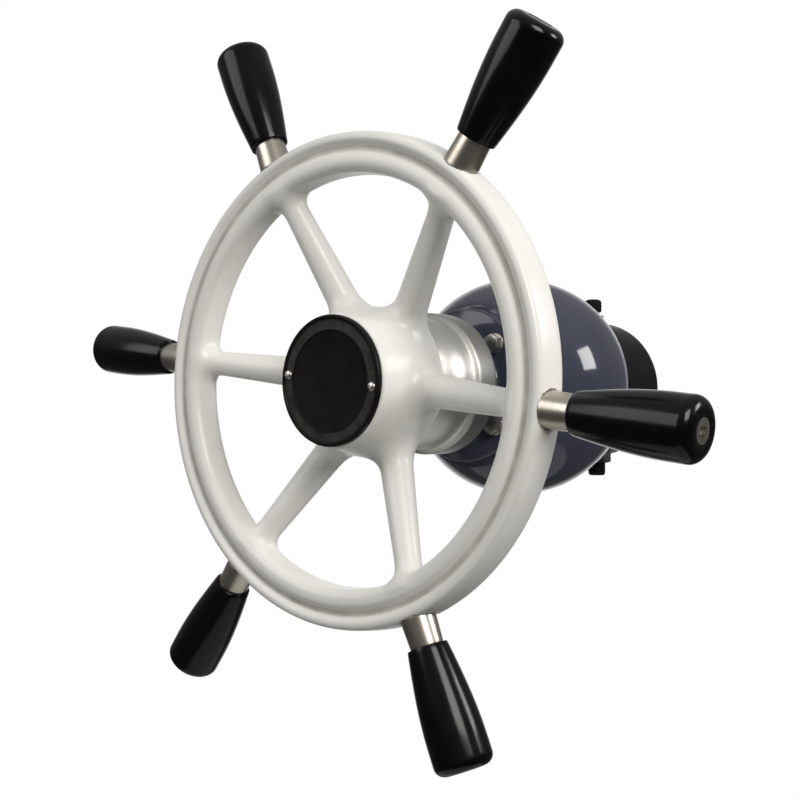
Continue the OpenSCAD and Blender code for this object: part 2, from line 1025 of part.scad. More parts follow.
module filler_plug() {
    color(black)
        translate([0, filler_y, filler_seat_z + filler_seal_t]) {
            cylinder(r = hex_r(filler_hex), h = filler_hex_len, $fn = 6);
            translate([0, 0, filler_hex_len - 1])
                cylinder(r = filler_neck_r, h = filler_neck_len + 2);
            translate([0, 0, filler_hex_len + filler_neck_len])
                cylinder(r = filler_cap_r, h = filler_cap_len);
            translate([0, 0, -filler_seal_t - filler_thread_len])
                cylinder(r = filler_thread_r, h = filler_seal_t + filler_thread_len);
        }
}

module union_seals() {
    color(rubber)
        for (side = [-1, 1])
            translate([side * union_x, valve_y, union_seat_z - union_seal_t])
                difference() {
                    cylinder(r = union_hex / 2, h = union_seal_t);
                    translate([0, 0, -1])
                        cylinder(r = union_thread_r, h = union_seal_t + 2);
                }
}

module hose_union(side) {
    hex_top = union_seat_z - union_seal_t;
    hex_bottom = hex_top - union_hex_len;
    nose_bottom = hex_bottom - union_nose_len;
    color(black)
        translate([side * union_x, valve_y, 0])
            difference() {
                union() {
                    translate([0, 0, hex_bottom])
                        cylinder(r = hex_r(union_hex), h = union_hex_len, $fn = 6);
                    translate([0, 0, nose_bottom])
                        cylinder(r = union_nose_r, h = union_nose_len);
                    translate([0, 0, hex_top])
                        cylinder(r = union_thread_r, h = union_seal_t + union_thread_len);
                }
                translate([0, 0, nose_bottom - 1])
                    cylinder(r = union_bore_r, h = union_seat_z + union_thread_len - nose_bottom + 2);
            }
}

wheel_casting();
name_plate();
plate_screws();
hub_nut();
hub_washer();
hub_key();
ferrule(1);  // ferrule_1
ferrule(2);  // ferrule_2
ferrule(3);  // ferrule_3
ferrule(4);  // ferrule_4
ferrule(5);  // ferrule_5
ferrule(6);  // ferrule_6
grip(1);  // grip_1
grip(2);  // grip_2
grip(3);  // grip_3
grip(4);  // grip_4
grip(5);  // grip_5
grip(6);  // grip_6
handle_bolts();
shaft();
spacer_sleeve();
bearing_inner_ring();
inner_rotor();
rotor_key();
bearing_balls();
bearing_cage();
outer_rotor();
bearing_cap();
shaft_seal();
front_housing();
bearing_circlip();
bearing_outer_ring();
front_gasket();
tie_bolts();
tie_washers();
casing();
casing_seal_ring();
thrust_plate();
pump_ring();
port_plate();
stack_screws();
rear_block();
rear_bush();
valve_seats();
valve_plugs();
valve_spring(-1);  // spring_left
valve_spring(1);  // spring_right
valve_spool();
poppet(-1);  // poppet_left
poppet(1);  // poppet_right
filler_plug();
filler_seal();
hose_union(-1);  // union_left
hose_union(1);  // union_right
union_seals();
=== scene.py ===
"""Looks, light and camera of the boat steering helm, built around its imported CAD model."""

import json
import math

import bmesh
import bpy
import numpy as np
from mathutils import Matrix, Vector


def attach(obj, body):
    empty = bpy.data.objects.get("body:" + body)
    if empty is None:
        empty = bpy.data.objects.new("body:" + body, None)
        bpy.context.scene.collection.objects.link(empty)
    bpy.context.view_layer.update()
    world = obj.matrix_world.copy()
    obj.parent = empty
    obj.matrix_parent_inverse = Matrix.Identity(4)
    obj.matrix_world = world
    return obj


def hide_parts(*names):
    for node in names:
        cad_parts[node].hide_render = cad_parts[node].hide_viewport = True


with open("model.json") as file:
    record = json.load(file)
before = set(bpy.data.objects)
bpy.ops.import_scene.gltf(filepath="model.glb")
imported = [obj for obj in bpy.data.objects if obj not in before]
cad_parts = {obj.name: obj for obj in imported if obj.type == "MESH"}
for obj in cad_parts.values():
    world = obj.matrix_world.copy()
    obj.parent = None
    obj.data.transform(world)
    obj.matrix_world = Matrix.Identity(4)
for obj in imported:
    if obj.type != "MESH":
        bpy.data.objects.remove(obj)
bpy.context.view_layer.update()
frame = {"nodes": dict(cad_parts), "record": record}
MM = 0.001

# Sizes of the wheel in millimetres, the CAD model's own or close to them
REST_ANGLE = -6.9
SPOKES = 6
RIM_R = 179.0
RIM_FRONT = -375.0
RIM_HALF_WIDTH = 15.5
RIM_HALF_DEPTH = 13.0
RIM_MID_R = RIM_R - RIM_HALF_WIDTH
RIM_MID_Y = RIM_FRONT + RIM_HALF_DEPTH
RIM_CORNER = 7.0
RIM_SLOPE = 3.2
GROOVE_MID_R = RIM_MID_R + 1.0
GROOVE_R = 5.2
GROOVE_DEPTH = 3.0
PLATE_R = 47.0
HUB_FRONT = RIM_FRONT + 1.0
HUB_REAR = HUB_FRONT + 65.0
HUB_FRONT_R = PLATE_R + 1.4
HUB_BELLY_R = PLATE_R + 8.0
HUB_BELLY_FROM = HUB_FRONT + 33.0
HUB_BELLY_TO = HUB_FRONT + 42.0
HUB_REAR_R = PLATE_R + 3.0
HUB_ROUND = 3.0
HUB_BORE_R = 10.0
POCKET_R = 22.0
POCKET_FLOOR = HUB_FRONT + 22.0
SPOKE_START_R = 42.0
SPOKE_START_Y = HUB_FRONT + 47.0
SPOKE_ROOT_R = 13.0
SPOKE_TIP_R = 8.5
SPOKE_ROOT_FLARE = 4.5
SPOKE_ROOT_FLARE_LEN = 32.0
SPOKE_TIP_FLARE = 3.5
SPOKE_TIP_FLARE_START = 14.0
SPOKE_TIP_FLARE_LEN = 16.0
SEAT_X = RIM_R - 4.0
SEAT_R = 13.0

# Sizes of the handles
FERRULE_LEN = 21.0
FERRULE_ROOT_R = 12.6
FERRULE_TIP_R = 11.6
GRIP_X = SEAT_X + FERRULE_LEN
GRIP_LEN = 84.0
GRIP_MAX_R = 20.5
GRIP_ROOT_R = 0.69 * GRIP_MAX_R
GRIP_FLAT_R = 0.62 * GRIP_MAX_R
GRIP_WIDEST = 0.78
GRIP_ROUND_START = 0.91
BOLT_SINK = 10.5
BOLT_BORE_R = 5.3
BOLT_SEAT_R = 8.3

# Sizes of the name plate and its screws
PLATE_FRONT = HUB_FRONT - 3.0
PLATE_RIM_IN_R = PLATE_R - 2.2
PLATE_RIM_H = 1.0
PLATE_SCREWS = 2
PLATE_SCREW_CIRCLE = PLATE_R - 6.3
PLATE_SCREW_R = 2.0
PLATE_SCREW_LEN = 13.0
PLATE_SCREW_HEAD_R = 3.4
PLATE_SCREW_HEAD_LEN = 2.4
PLATE_RING_R = PLATE_SCREW_CIRCLE - PLATE_SCREW_HEAD_R - 0.5
PLATE_RING_W = 1.2
PLATE_RING_H = 0.6

# Sizes of the pump: casing, front housing, bearing cap and tie bolts
CASING_REAR = -68.0
CASING_FRONT = CASING_REAR - 140.0
CASING_R = 92.0
CASING_FRONT_R = 66.0
CASING_REAR_R = 63.0
CASING_WALL = 6.0
CASING_FRONT_WALL = 9.0
CASING_FRONT_HOLE_R = 40.0
CASING_REAR_RING = 14.0
CASING_REAR_HOLE_R = 54.5
FLANGE_R = 62.0
FLANGE_REAR = CASING_FRONT - 1.0
FLANGE_FRONT = FLANGE_REAR - 11.5
CAP_FRONT = HUB_REAR + 5.0
CAP_REAR = FLANGE_FRONT - 27.0
CAP_R = 55.0
CAP_NOSE_R = CAP_R - 4.0
CAP_DOME_LEN = 22.0
CAP_DOME_ARC = 40.0
CAP_STEP_Y = -270.7
CAP_BORE_R = 18.0
CAP_SEAL_R = 24.2
CAP_SEAL_FLOOR = CAP_FRONT + 7.0
NECK_R = 34.0
NECK_GAP = 0.2
NECK_FRONT = CAP_FRONT + 12.0
HOUSING_SEAT_R = 26.2
HOUSING_SEAT_END = NECK_FRONT + 32.0
HOUSING_BORE_R = 14.2
HOUSING_REAR = CASING_FRONT + 5.0
TIES = 4
TIE_FIRST_ANGLE = 45.0
TIE_CIRCLE_R = 46.0
TIE_R = 4.0
TIE_END = -58.0
TIE_HEAD_R = 7.5
TIE_HEAD_LEN = 5.5
TIE_WASHER_R = 8.0
TIE_WASHER_T = 1.6

# Sizes of the filler plug and the hose unions
FILLER_Y = -18.0
FILLER_HEX_Z = 61.5
FILLER_HEX = 17.0
FILLER_HEX_LEN = 8.0
FILLER_THREAD_R = 7.0
FILLER_THREAD_LEN = 13.5
FILLER_NECK_R = 6.0
FILLER_CAP_R = 8.0
FILLER_CAP_FOOT_R = FILLER_CAP_R - 0.4
FILLER_CAP_START = FILLER_HEX_LEN + 3.0
FILLER_CAP_END = FILLER_CAP_START + 12.0
FILLER_KNURL_START = FILLER_CAP_START + 1.5
FILLER_KNURL_END = FILLER_CAP_END - 2.8
UNION_X = 18.0
UNION_Y = -42.0
UNION_HEX_Z = -54.5
UNION_HEX = 22.0
UNION_HEX_LEN = 13.0
UNION_HEX_HOLE_R = 7.0
UNION_BORE_R = 3.8
UNION_THREAD_R = 6.5
UNION_THREAD_LEN = 13.5
UNION_NOSE_R = 8.0
UNION_END = UNION_HEX_LEN + 11.5


# Node trees of the materials and of the world

class Nodes:
    """A node tree, with short calls for the nodes used here."""

    def __init__(self, tree):
        self.tree = tree

    def node(self, kind, inputs=None, **settings):
        """A new node; each input is a value or the socket that feeds it."""
        made = self.tree.nodes.new(kind)
        for key, value in settings.items():
            setattr(made, key, value)
        for key, value in (inputs or {}).items():
            if isinstance(value, bpy.types.NodeSocket):
                self.tree.links.new(value, made.inputs[key])
            else:
                made.inputs[key].default_value = value
        return made

    def math(self, operation, a, b=0.0):
        return self.node("ShaderNodeMath", {0: a, 1: b}, operation=operation).outputs["Value"]

    def span(self, value, from_low, from_high, to_low, to_high, smooth=False):
        """value carried from one range to another, held at its ends."""
        ends = {"From Min": from_low, "From Max": from_high, "To Min": to_low, "To Max": to_high}
        kind = "SMOOTHSTEP" if smooth else "LINEAR"
        made = self.node("ShaderNodeMapRange", {"Value": value, **ends}, interpolation_type=kind)
        return made.outputs["Result"]


class Graph(Nodes):
    """One material's node tree."""

    # Places of a mix node's sockets when it mixes colours
    MIX_FACTOR, MIX_A, MIX_B, MIX_OUT = 0, 6, 7, 2

    def __init__(self, name, local=False, **constants):
        """With local, patterns follow the place that a piece's vertices had before it was moved."""
        self.material = bpy.data.materials.new(name)
        self.material.use_nodes = True
        super().__init__(self.material.node_tree)
        self.shader = self.tree.nodes["Principled BSDF"]
        if local:
            self.place = self.node("ShaderNodeAttribute", attribute_name="local").outputs["Vector"]
        else:
            self.place = self.node("ShaderNodeTexCoord").outputs["Object"]
        for socket, value in constants.items():
            self.shader.inputs[socket.replace("_", " ")].default_value = value

    def noise(self, scale, detail=4.0, roughness=0.55):
        """Noise whose scale, per metre, may differ along X, Y and Z."""
        sizes = scale if isinstance(scale, tuple) else (scale, scale, scale)
        stretched = self.node("ShaderNodeMapping", {"Vector": self.place, "Scale": sizes})
        return self.node("ShaderNodeTexNoise", {
            "Vector": stretched.outputs["Vector"], "Scale": 1.0, "Detail": detail, "Roughness": roughness,
        }).outputs["Fac"]

    def vary(self, noise, low, high, spread=(0.3, 0.7)):
        """Noise carried from its usual spread to a range."""
        return self.span(noise, *spread, low, high)

    def mix(self, factor, a, b):
        """Colour between a and b; each is a colour or a socket."""
        a, b = ((*colour, 1.0) if isinstance(colour, tuple) else colour for colour in (a, b))
        inputs = {self.MIX_FACTOR: factor, self.MIX_A: a, self.MIX_B: b}
        return self.node("ShaderNodeMix", inputs, data_type="RGBA").outputs[self.MIX_OUT]

    def edges(self, low, high):
        """About 1 on worn convex edges and 0 elsewhere."""
        point = self.node("ShaderNodeNewGeometry").outputs["Pointiness"]
        return self.span(point, low, high, 0.0, 1.0, smooth=True)

    def axis(self, name):
        """The pattern's place along X, Y or Z, in metres."""
        return self.node("ShaderNodeSeparateXYZ", {"Vector": self.place}).outputs[name]

    def axis_radius(self):
        """Distance from the wheel's axis, in metres."""
        squares = [self.math("POWER", self.axis(name), 2.0) for name in "XZ"]
        return self.math("SQRT", self.math("ADD", *squares))

    def bump(self, height, distance, strength):
        made = self.node("ShaderNodeBump", {"Height": height, "Distance": distance, "Strength": strength})
        self.set("Normal", made.outputs["Normal"])

    def set(self, socket, value):
        self.tree.links.new(value, self.shader.inputs[socket])


def white_paint():
    """Gloss white paint, a little uneven, with painted shade darkening the rim's groove."""
    g = Graph("white_paint", Coat_Weight=0.1, Coat_Roughness=0.12, IOR=1.38)
    y = g.axis("Y")
    # Painted shade: the paint darkens towards brown-grey in the rim's groove, on the front half of the rim.
    off_groove = g.math("ABSOLUTE", g.math("SUBTRACT", g.axis_radius(), GROOVE_MID_R * MM))
    near_groove = g.span(off_groove, 0.8 * MM, 3.4 * MM, 1.0, 0.0, smooth=True)
    sunk = g.span(y, (RIM_FRONT + 1.0) * MM, (RIM_FRONT + GROOVE_DEPTH) * MM, 0.0, 1.0, smooth=True)
    front_half = g.span(y, (RIM_MID_Y - 4.0) * MM, (RIM_MID_Y - 3.0) * MM, 1.0, 0.0)
    groove_shade = g.math("MULTIPLY", g.math("MULTIPLY", near_groove, sunk), front_half)
    patchy = g.vary(g.noise(60.0), 0.4, 0.7)
    cloud = g.vary(g.noise(9.0, detail=3.0), 0.0, 1.0)
    paint = g.mix(cloud, (0.83, 0.815, 0.77), (0.79, 0.775, 0.73))
    g.set("Base Color", g.mix(g.math("MULTIPLY", groove_shade, patchy), paint, (0.27, 0.255, 0.21)))
    g.set("Roughness", g.vary(g.noise(35.0), 0.26, 0.38))
    g.bump(g.noise(260.0, detail=2.0), 0.12 * MM, 0.35)
    return g.material


def black_grip():
    """Polished black thermoset, with fine handling scratches along it."""
    g = Graph("black_grip", local=True, IOR=1.33)
    scratches = g.noise((40.0, 900.0, 900.0), detail=6.0)
    cloud = g.noise(45.0)
    deep = g.vary(cloud, 0.0, 1.0, spread=(0.35, 0.7))
    g.set("Base Color", g.mix(deep, (0.0015, 0.0012, 0.0016), (0.0035, 0.003, 0.0036)))
    polish = g.vary(cloud, 0.14, 0.2)
    g.set("Roughness", g.math("ADD", polish, g.vary(scratches, 0.0, 0.08, spread=(0.55, 0.75))))
    g.bump(scratches, 0.02 * MM, 0.3)
    return g.material


def turned_metal(name, light, dark, lines, rough=(0.22, 0.4), local=False, shade_behind=None):
    """Bare metal with turning marks at a scale along X, Y and Z, darkened behind a place on Y as painted
    shade.
    """
    g = Graph(name, local, Metallic=1.0)
    marks = g.noise(lines, detail=5.0, roughness=0.7)
    cloud = g.noise(28.0)
    tone = g.math("ADD", g.math("MULTIPLY", marks, 0.55), g.math("MULTIPLY", cloud, 0.45))
    colour = g.mix(g.vary(tone, 0.0, 1.0, spread=(0.35, 0.65)), light, dark)
    if shade_behind is not None:
        # Painted shade: behind the given place on Y the colour darkens towards a third of the dark tone.
        painted_shade = g.span(g.axis("Y"), (shade_behind - 2.0) * MM, (shade_behind + 1.0) * MM, 0.0, 0.6)
        colour = g.mix(painted_shade, colour, tuple(0.35 * c for c in dark))
    g.set("Base Color", colour)
    g.set("Roughness", g.vary(tone, *rough))
    g.bump(marks, 0.02 * MM, 0.5)
    return g.material


def coated(name, light, dark, rough, coat=0.0, worn=None, grain=180.0, ior=1.45):
    """Paint, rubber or cast skin with a fine grain; worn is the colour of its rubbed edges."""
    g = Graph(name, Coat_Weight=coat, Coat_Roughness=0.09, IOR=ior)
    colour = g.mix(g.vary(g.noise(22.0), 0.0, 1.0), light, dark)
    if worn:
        wear_and_sheen = g.math("MULTIPLY", g.edges(0.53, 0.60), g.vary(g.noise(160.0), 0.2, 1.0, spread=(0.4, 0.6)))
        colour = g.mix(wear_and_sheen, colour, worn)
    g.set("Base Color", colour)
    g.set("Roughness", g.vary(g.noise(50.0), *rough))
    g.bump(g.noise(grain, detail=3.0), 0.12 * MM, 0.4)
    return g.material


def black_plate():
    """Satin black paint, with a painted sheen: paler on the border band between the raised ring and the rim.
    """
    g = Graph("black_plate", IOR=1.22)
    radius = g.axis_radius()
    past_ring = g.span(radius, (PLATE_RING_R - 0.4) * MM, (PLATE_RING_R + 0.3) * MM, 0.0, 1.0)
    before_rim = g.span(radius, (PLATE_RIM_IN_R - 2.0) * MM, (PLATE_RIM_IN_R - 0.6) * MM, 1.0, 0.0)
    band = g.math("MULTIPLY", past_ring, before_rim)
    # Painted sheen: the border band is lightened in patches towards a dark grey.
    wear_and_sheen = g.math("MULTIPLY", band, g.vary(g.noise(90.0), 0.35, 1.0))
    black = g.mix(g.vary(g.noise(22.0), 0.0, 1.0), (0.004, 0.0035, 0.003), (0.009, 0.0075, 0.006))
    g.set("Base Color", g.mix(wear_and_sheen, black, (0.050, 0.048, 0.042)))
    g.set("Roughness", g.vary(g.noise(50.0), 0.28, 0.42))
    g.bump(g.noise(180.0, detail=3.0), 0.12 * MM, 0.4)
    return g.material


# Scales of turning marks that follow one another along an axis, or are the same all ways
ALONG_X = (2200.0, 25.0, 25.0)
ALONG_Y = (25.0, 2200.0, 25.0)
EVEN = (400.0, 400.0, 400.0)
ferrule_metal = turned_metal("ferrule_metal", (0.62, 0.57, 0.50), (0.44, 0.40, 0.34), ALONG_X, local=True)
materials = {
    "white_paint": white_paint(),
    "black_grip": black_grip(),
    "black_plate": black_plate(),
    "stainless": turned_metal("stainless", (0.70, 0.67, 0.62), (0.50, 0.48, 0.44), EVEN),
    "steel": turned_metal("steel", (0.56, 0.56, 0.56), (0.42, 0.42, 0.43), ALONG_Y),
    "bare_aluminium": turned_metal(
        "bare_aluminium", (0.70, 0.685, 0.645), (0.52, 0.51, 0.48), ALONG_Y, rough=(0.34, 0.5),
        # Painted shade on the cap's rear band, behind its step.
        shade_behind=CAP_STEP_Y,
    ),
    "casing_paint": coated(
        "casing_paint", (0.038, 0.042, 0.064), (0.049, 0.053, 0.078), (0.3, 0.42),
        coat=1.0, worn=(0.11, 0.11, 0.13), ior=1.05,
    ),
    "cast_iron": coated("cast_iron", (0.20, 0.20, 0.20), (0.28, 0.28, 0.28), (0.45, 0.6), grain=500.0),
    "bronze": turned_metal("bronze", (0.62, 0.41, 0.17), (0.48, 0.31, 0.13), ALONG_Y),
    "black_paint": coated(
        "black_paint", (0.003, 0.003, 0.004), (0.006, 0.006, 0.007), (0.3, 0.45),
        worn=(0.05, 0.05, 0.055), ior=1.2,
    ),
    "rubber": coated("rubber", (0.012, 0.012, 0.012), (0.022, 0.022, 0.022), (0.6, 0.8), grain=700.0),
}

for part in frame["record"]["subparts"]:
    node_mesh = frame["nodes"][part["node"]].data
    node_mesh.materials.clear()
    node_mesh.materials.append(materials[part["material_slot"]])


# Mesh helpers; a shape is a pair of vertices and faces, in millimetres

def rounded(points, steps=5):
    """Profile with its corners rounded; a point is (radius, height) or (radius, height, rounding)."""
    longest_share = 0.48
    made = []
    for i, point in enumerate(points):
        corner = Vector(point[:2])
        rounding = point[2] if len(point) > 2 else 0.0
        if rounding == 0.0:
            made.append(tuple(corner))
            continue
        ends = []
        for neighbour in (points[i - 1], points[(i + 1) % len(points)]):
            side = Vector(neighbour[:2]) - corner
            ends.append(corner + side.normalized() * min(rounding, longest_share * side.length))
        for step in range(steps + 1):
            t = step / steps
            arc = ends[0] * (1 - t) ** 2 + corner * 2 * t * (1 - t) + ends[1] * t ** 2
            made.append(tuple(arc))
    return made


def lathe(profile, segments=96, closed=True, shaped=None):
    """(radius, height) pairs turned about Y; shaped(turn, radius, height) may change them at each turn."""
    verts = []
    for point in profile:
        for k in range(segments):
            turn = 2 * math.pi * k / segments
            radius, height = shaped(turn, *point) if shaped else point
            verts.append((radius * math.cos(turn), height, radius * math.sin(turn)))
    faces = []
    count = len(profile)
    for i in range(count if closed else count - 1):
        j = (i + 1) % count
        for k in range(segments):
            m = (k + 1) % segments
            faces.append((i * segments + k, i * segments + m, j * segments + m, j * segments + k))
    return verts, faces


def hex_head(across_flats, length, hole_r=0.0):
    """Hexagon standing on height 0 along Y, its top chamfered as a bolt head's is."""
    flat_r = across_flats / 2
    top_r = 0.96 * flat_r
    chamfer = math.radians(30)
    sector = math.pi / 3

    def six_sided(turn, radius, height):
        if radius != flat_r:
            return radius, height
        corner_r = flat_r / math.cos((turn + sector / 2) % sector - sector / 2)
        drop = (corner_r - top_r) * math.tan(chamfer) if height > 0 else 0.0
        return corner_r, height - drop

    profile = [(hole_r, 0.0), (flat_r, 0.0), (flat_r, length), (top_r, length), (hole_r, length)]
    return lathe(profile, shaped=six_sided)


def moved(shape, place):
    """A shape's vertices put through a matrix."""
    verts, faces = shape
    return [tuple(place @ Vector(v)) for v in verts], faces


def joined(shapes):
    """Several shapes as one."""
    verts, faces = [], []
    for part_verts, part_faces in shapes:
        start = len(verts)
        verts.extend(part_verts)
        faces.extend(tuple(i + start for i in face) for face in part_faces)
    return verts, faces


def piece(name, shape, slot, body, node, place=None, sharp=32.0, material=None):
    """A piece made from a shape, moved to its place, that stands for a CAD node."""
    merge_distance, flat_distance = 1e-7, 1e-8
    mesh = bpy.data.meshes.new(name)
    verts, faces = shape
    mesh.from_pydata([tuple(c * MM for c in v) for v in verts], [], faces)
    work = bmesh.new()
    work.from_mesh(mesh)
    bmesh.ops.remove_doubles(work, verts=work.verts, dist=merge_distance)
    bmesh.ops.dissolve_degenerate(work, edges=work.edges, dist=flat_distance)
    bmesh.ops.recalc_face_normals(work, faces=work.faces)
    work.to_mesh(mesh)
    work.free()
    mesh.polygons.foreach_set("use_smooth", [True] * len(mesh.polygons))
    mesh.set_sharp_from_angle(angle=math.radians(sharp))
    mesh.materials.append(material or materials[slot])
    if place is not None:
        before = np.empty(3 * len(mesh.vertices), np.float32)
        mesh.vertices.foreach_get("co", before)
        mesh.attributes.new("local", "FLOAT_VECTOR", "POINT").data.foreach_set("vector", before)
        mesh.transform(place)
    made = bpy.data.objects.new(name, mesh)
    bpy.context.scene.collection.objects.link(made)
    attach(made, body)
    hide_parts(node)


Y_TO_X = Matrix.Rotation(-math.pi / 2, 4, "Z")
Y_TO_Z = Matrix.Rotation(math.pi / 2, 4, "X")
Y_TO_MINUS_Y = Matrix.Rotation(math.pi, 4, "X")
Y_TO_MINUS_Z = Matrix.Rotation(-math.pi / 2, 4, "X")


def around_axis(shape, count, radius, first_angle, y):
    """Copies of a shape, turned to face -Y, on a circle about the Y axis."""
    copies = []
    for i in range(count):
        turn = math.radians(first_angle + i * 360 / count)
        place = Matrix.Translation((radius * math.cos(turn), y, radius * math.sin(turn)))
        copies.append(moved(shape, place @ Y_TO_MINUS_Y))
    return joined(copies)


# Wheel casting: one smooth skin over rim, spokes and hub

def smooth_min(a, b, reach):
    """The lesser of two distances, rounded off where they are within reach of each other."""
    near = np.maximum(reach - np.abs(a - b), 0.0) / reach
    return np.minimum(a, b) - near * near * reach / 4


def cut(body, tool, reach):
    """Distance to a body with a tool's shape taken out."""
    return -smooth_min(-body, tool, reach)


def rounded_box(u, v, half_u, half_v, corner):
    """Signed distance in the plane to a rectangle with round corners."""
    du = np.abs(u) - half_u + corner
    dv = np.abs(v) - half_v + corner
    outside = np.hypot(np.maximum(du, 0.0), np.maximum(dv, 0.0))
    return outside + np.minimum(np.maximum(du, dv), 0.0) - corner


def polygon_distance(u, v, points):
    """Signed distance in the plane to a closed polygon."""
    nearest = np.full(u.shape, np.inf)
    inside = np.zeros(u.shape, bool)
    for (u0, v0), (u1, v1) in zip(points, points[1:] + points[:1]):
        along = ((u - u0) * (u1 - u0) + (v - v0) * (v1 - v0)) / ((u1 - u0) ** 2 + (v1 - v0) ** 2)
        along = np.clip(along, 0.0, 1.0)
        nearest = np.minimum(nearest, np.hypot(u - u0 - along * (u1 - u0), v - v0 - along * (v1 - v0)))
        if v0 != v1:
            between = (v0 > v) != (v1 > v)
            inside ^= between & (u < (u1 - u0) * (v - v0) / (v1 - v0) + u0)
    return np.where(inside, -nearest, nearest)


# How far two forms of the casting run into each other where they meet
SLOPE_EASE = 3.0
GROOVE_EASE = 2.2
SEAT_EASE = 0.8
SPOKE_FILLET = 12.0
HUB_FILLET = 15.0
RIM_FILLET = 8.0

# The hub's half section, smaller all round by HUB_ROUND and reaching just past the axis
PAST_AXIS = -1.0
HUB_CORE = [
    (PAST_AXIS, HUB_FRONT + HUB_ROUND),
    (HUB_FRONT_R - HUB_ROUND, HUB_FRONT + HUB_ROUND),
    (HUB_BELLY_R - HUB_ROUND, HUB_BELLY_FROM),
    (HUB_BELLY_R - HUB_ROUND, HUB_BELLY_TO),
    (HUB_REAR_R - HUB_ROUND, HUB_REAR - HUB_ROUND),
    (PAST_AXIS, HUB_REAR - HUB_ROUND),
]
SPOKE_RISE = (RIM_MID_R - SPOKE_START_R, RIM_MID_Y - SPOKE_START_Y)
SPOKE_LEN = math.hypot(*SPOKE_RISE)
SPOKE_COS, SPOKE_SIN = SPOKE_RISE[0] / SPOKE_LEN, SPOKE_RISE[1] / SPOKE_LEN


def spoke_distance(r, turn, y):
    """Distance to one spoke, from a radius and a turn away from the spoke's own."""
    out, side = r * np.cos(turn) - SPOKE_START_R, r * np.sin(turn)
    along = out * SPOKE_COS + (y - SPOKE_START_Y) * SPOKE_SIN
    across = (y - SPOKE_START_Y) * SPOKE_COS - out * SPOKE_SIN
    radius = SPOKE_ROOT_R + (SPOKE_TIP_R - SPOKE_ROOT_R) * np.clip(along / SPOKE_LEN, 0.0, 1.0)
    radius += SPOKE_ROOT_FLARE * np.clip(1 - along / SPOKE_ROOT_FLARE_LEN, 0.0, 1.0) ** 2
    tip_start = SPOKE_LEN - RIM_HALF_WIDTH - SPOKE_TIP_FLARE_START
    radius += SPOKE_TIP_FLARE * np.clip((along - tip_start) / SPOKE_TIP_FLARE_LEN, 0.0, 1.0) ** 2
    stops_short = 0.6 * RIM_HALF_WIDTH
    past_ends = np.maximum(-along, along - SPOKE_LEN + stops_short)
    return np.maximum(np.hypot(across, side) - radius, past_ends)


def wheel_distance(x, y, z):
    """Distance to the wheel casting's skin, in millimetres, negative inside."""
    r = np.hypot(x, z)
    sector = 2 * math.pi / SPOKES
    turn = np.arctan2(z, x) - math.radians(REST_ANGLE)
    turn = (turn + sector / 2) % sector - sector / 2
    rim = rounded_box(r - RIM_MID_R, y - RIM_MID_Y, RIM_HALF_WIDTH, RIM_HALF_DEPTH, RIM_CORNER)
    slope_len = 2 * RIM_HALF_DEPTH - RIM_CORNER
    beyond_slope = (r - RIM_R + RIM_SLOPE) * slope_len - (y - RIM_FRONT) * RIM_SLOPE
    rim = cut(rim, -beyond_slope / math.hypot(slope_len, RIM_SLOPE), SLOPE_EASE)
    groove = np.hypot(r - GROOVE_MID_R, y - RIM_FRONT - GROOVE_DEPTH + GROOVE_R) - GROOVE_R
    rim = cut(rim, groove, GROOVE_EASE)
    hub = polygon_distance(r, y, HUB_CORE) - HUB_ROUND
    spokes = spoke_distance(r, turn, y)
    for neighbour in (-sector, sector):
        spokes = smooth_min(spokes, spoke_distance(r, turn + neighbour, y), SPOKE_FILLET)
    skin = smooth_min(smooth_min(spokes, hub, HUB_FILLET), rim, RIM_FILLET)
    seat = np.maximum(np.hypot(y - RIM_MID_Y, r * np.sin(turn)) - SEAT_R, SEAT_X - r * np.cos(turn))
    skin = cut(skin, seat, SEAT_EASE)
    skin = np.maximum(skin, HUB_BORE_R - r)
    return np.maximum(skin, -np.maximum(r - POCKET_R, y - POCKET_FLOOR))


def skin_of(distance, low, high, step):
    """Vertices and four-sided faces of a distance function's zero level, a vertex per grid cell crossed."""
    axes = [np.arange(a, b + step, step) for a, b in zip(low, high)]
    inside = distance(*np.meshgrid(*axes, indexing="ij")) < 0
    nx, ny, nz = (count - 1 for count in inside.shape)
    corners = sum(
        inside[i:nx + i, j:ny + j, k:nz + k].astype(np.int8)
        for i in (0, 1) for j in (0, 1) for k in (0, 1)
    )
    crossed = (corners > 0) & (corners < 8)
    number = np.full(crossed.shape, -1)
    number[crossed] = np.arange(crossed.sum())

    # Each vertex starts in the middle of its cell and is drawn to the zero level, but not far from the cell
    start = np.array(low) + (np.argwhere(crossed) + 0.5) * step
    rounds, pull, probe, least_slope, leash = 6, 0.8, 0.05, 0.05, 0.75 * step
    points = start.copy()
    for _ in range(rounds):
        value = distance(*points.T)
        slope = np.stack([
            (distance(*(points + probe * unit).T) - distance(*(points - probe * unit).T)) / (2 * probe)
            for unit in np.eye(3)
        ], 1)
        steepness = np.maximum((slope ** 2).sum(1), least_slope)
        move = np.clip(-pull * value[:, None] * slope / steepness[:, None], -step, step)
        points = np.clip(points + move, start - leash, start + leash)

    # A face joins the four cells around each grid edge whose ends lie on different sides
    faces = []
    for axis in range(3):
        state, ids = np.moveaxis(inside, axis, 0), np.moveaxis(number, axis, 0)
        i, j, k = np.nonzero(state[:-1, 1:-1, 1:-1] != state[1:, 1:-1, 1:-1])
        quads = np.stack([ids[i, j, k], ids[i, j + 1, k], ids[i, j + 1, k + 1], ids[i, j, k + 1]], 1)
        outward = state[i, j + 1, k + 1] != (axis == 1)
        quads[~outward] = quads[~outward, ::-1]
        faces.append(quads)
    return points, np.concatenate(faces)


